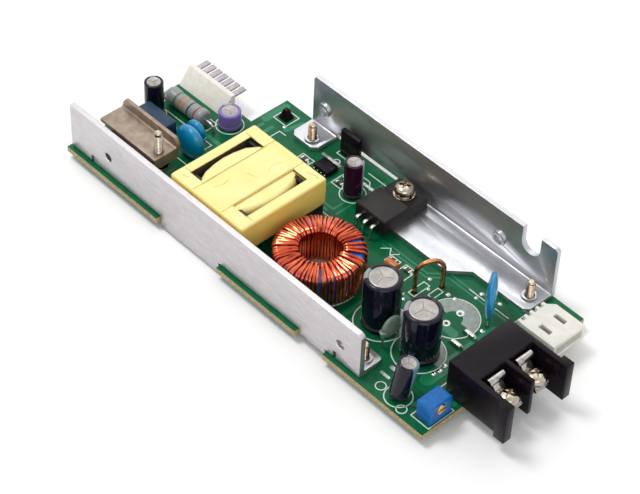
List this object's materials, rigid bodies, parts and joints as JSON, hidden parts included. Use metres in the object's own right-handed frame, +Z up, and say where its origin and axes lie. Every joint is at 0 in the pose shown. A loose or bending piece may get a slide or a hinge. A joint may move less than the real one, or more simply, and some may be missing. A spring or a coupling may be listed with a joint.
{
  "type": "open-frame switching power supply",
  "caption": "Open-frame switching power supply: a long circuit board between two folded aluminium brackets, with transformer, toroid choke, capacitors and barrier terminals.",
  "frame": {"origin": "middle of the outline seen from above, on the level of the screw heads that the unit stands on", "axes": "+X towards the end with the terminal block, +Y towards the taller rear bracket, +Z up from the board's component side"},
  "size_m": [0.1406, 0.0544, 0.0202],
  "materials": {
    "board_laminate": "glossy green solder mask over glass laminate",
    "bracket_aluminium": "brushed mill finish",
    "screw_steel": "bright zinc plate",
    "device_plastic": "moulded epoxy",
    "tinned_lead": "tinned wire",
    "heatsink_metal": "dull tinned sheet",
    "ferrite": "sintered ferrite",
    "bobbin_plastic": "moulded phenolic",
    "yellow_tape": "polyester tape",
    "copper_wire": "enamelled copper",
    "blue_core": "epoxy coated powder core",
    "cream_plastic": "moulded base",
    "navy_sleeve": "shrunk sleeve with a grey stripe",
    "violet_sleeve": "shrunk sleeve",
    "maroon_sleeve": "shrunk sleeve",
    "capacitor_can": "drawn can",
    "seal_rubber": "moulded seal",
    "slate_resin": "resin-filled box",
    "grey_lacquer": "lacquer with colour bands",
    "blue_dip": "dipped epoxy",
    "green_dip": "dipped resin",
    "black_plastic": "moulded housing",
    "white_nylon": "moulded nylon",
    "trimmer_plastic": "moulded housing",
    "brass_rotor": "turned",
    "orange_bead": "coated ferrite",
    "terminal_plate": "nickel plate",
    "pale_body": "ceramic with tinned ends"
  },
  "bodies": {
    "unit": {"circuit_board": "board_laminate", "front_bracket": "bracket_aluminium", "rear_bracket": "bracket_aluminium", "bracket_screws": "screw_steel", "power_device_body": "device_plastic", "power_device_leads": "tinned_lead", "device_washers": "screw_steel", "device_screw": "screw_steel", "heatsink": "heatsink_metal", "sink_device_body": "device_plastic", "sink_device_leads": "tinned_lead", "heatsink_screw": "screw_steel", "transformer_core": "ferrite", "transformer_bobbin": "bobbin_plastic", "transformer_winding": "yellow_tape", "transformer_tape": "yellow_tape", "transformer_pins": "tinned_lead", "toroid_core": "blue_core", "toroid_winding": "copper_wire", "toroid_base": "cream_plastic", "output_capacitor_a_can": "capacitor_can", "output_capacitor_a_sleeve": "navy_sleeve", "output_capacitor_b_can": "capacitor_can", "output_capacitor_b_sleeve": "navy_sleeve", "input_capacitor_can": "capacitor_can", "input_capacitor_sleeve": "navy_sleeve", "control_capacitor_can": "capacitor_can", "control_capacitor_sleeve": "maroon_sleeve", "low_capacitor_can": "capacitor_can", "low_capacitor_sleeve": "violet_sleeve", "leaning_capacitor_can": "capacitor_can", "leaning_capacitor_sleeve": "navy_sleeve", "capacitor_seals": "seal_rubber", "capacitor_leads": "tinned_lead", "film_capacitor": "slate_resin", "power_resistor_body": "grey_lacquer", "large_disc_capacitor": "blue_dip", "small_disc_capacitor": "blue_dip", "output_disc_capacitor": "blue_dip", "thermistor": "green_dip", "small_part_leads": "tinned_lead", "terminal_housing": "black_plastic", "terminal_contacts": "terminal_plate", "terminal_clamps": "terminal_plate", "terminal_screws": "screw_steel", "connector_housing": "white_nylon", "connector_pins": "tinned_lead", "header_body": "white_nylon", "header_pins": "tinned_lead", "trimmer_body": "trimmer_plastic", "trimmer_pins": "tinned_lead", "chip_body": "black_plastic", "chip_leads": "tinned_lead", "surface_parts": "pale_body", "surface_diode": "black_plastic", "upright_part": "black_plastic", "bead_choke": "orange_bead", "wire_loop": "copper_wire", "tinned_straps": "tinned_lead"},
    "rotor": {"trimmer_rotor": "brass_rotor"}
  },
  "joints": [
    {"name": "trimmer_turn", "type": "hinge", "parent": "unit", "child": "rotor", "pos_m": [0.05595, -0.0208, 0.0071], "axis": [1, 0, 0], "range_deg": [-130, 130]}
  ]
}
